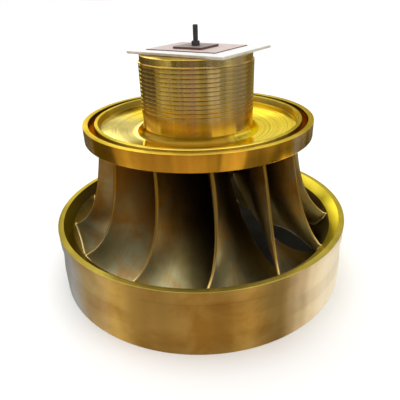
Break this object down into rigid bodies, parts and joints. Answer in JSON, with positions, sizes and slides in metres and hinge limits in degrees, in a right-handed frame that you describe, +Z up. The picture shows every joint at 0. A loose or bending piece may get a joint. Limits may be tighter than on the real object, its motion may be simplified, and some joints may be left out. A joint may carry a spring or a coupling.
{
  "type": "francis turbine runner",
  "caption": "Bronze Francis turbine runner standing on its band: crown with a grooved labyrinth neck, twisted blades, and a board, sheet and steel plate clamped over the hub.",
  "frame": {"origin": "on the runner's axis, in the plane of the band's lower face, which stands on the floor", "axes": "+Z up along the runner's axis from the band towards the crown and neck; -Y towards the viewer of the picture, +X to the viewer's right"},
  "size_m": [1.206, 1.205, 0.983],
  "materials": {
    "machined_bronze": "bright turned aluminium bronze with fine tool marks",
    "neck_bronze": "turned bronze with labyrinth grooves, satin",
    "band_bronze": "satin turned bronze, duller near the foot",
    "blade_bronze": "ground and brushed cast bronze, brown",
    "white_board": "matt white board with a grey edge",
    "red_sheet": "thin reddish sheet",
    "plate_steel": "hot-rolled plate with a worn face",
    "dark_steel": "blackened steel fasteners"
  },
  "bodies": {
    "root": {"crown": "machined_bronze", "labyrinth_neck": "neck_bronze", "band": "band_bronze", "blade_01": "blade_bronze", "blade_02": "blade_bronze", "blade_03": "blade_bronze", "blade_04": "blade_bronze", "blade_05": "blade_bronze", "blade_06": "blade_bronze", "blade_07": "blade_bronze", "blade_08": "blade_bronze", "blade_09": "blade_bronze", "blade_10": "blade_bronze", "blade_11": "blade_bronze", "blade_12": "blade_bronze", "blade_13": "blade_bronze", "cover_board": "white_board", "packing_sheet": "red_sheet", "clamp_plate": "plate_steel", "lower_clamp_bar": "plate_steel", "top_nut": "dark_steel", "lower_nut": "dark_steel", "clamp_rod": "dark_steel"}
  },
  "joints": []
}
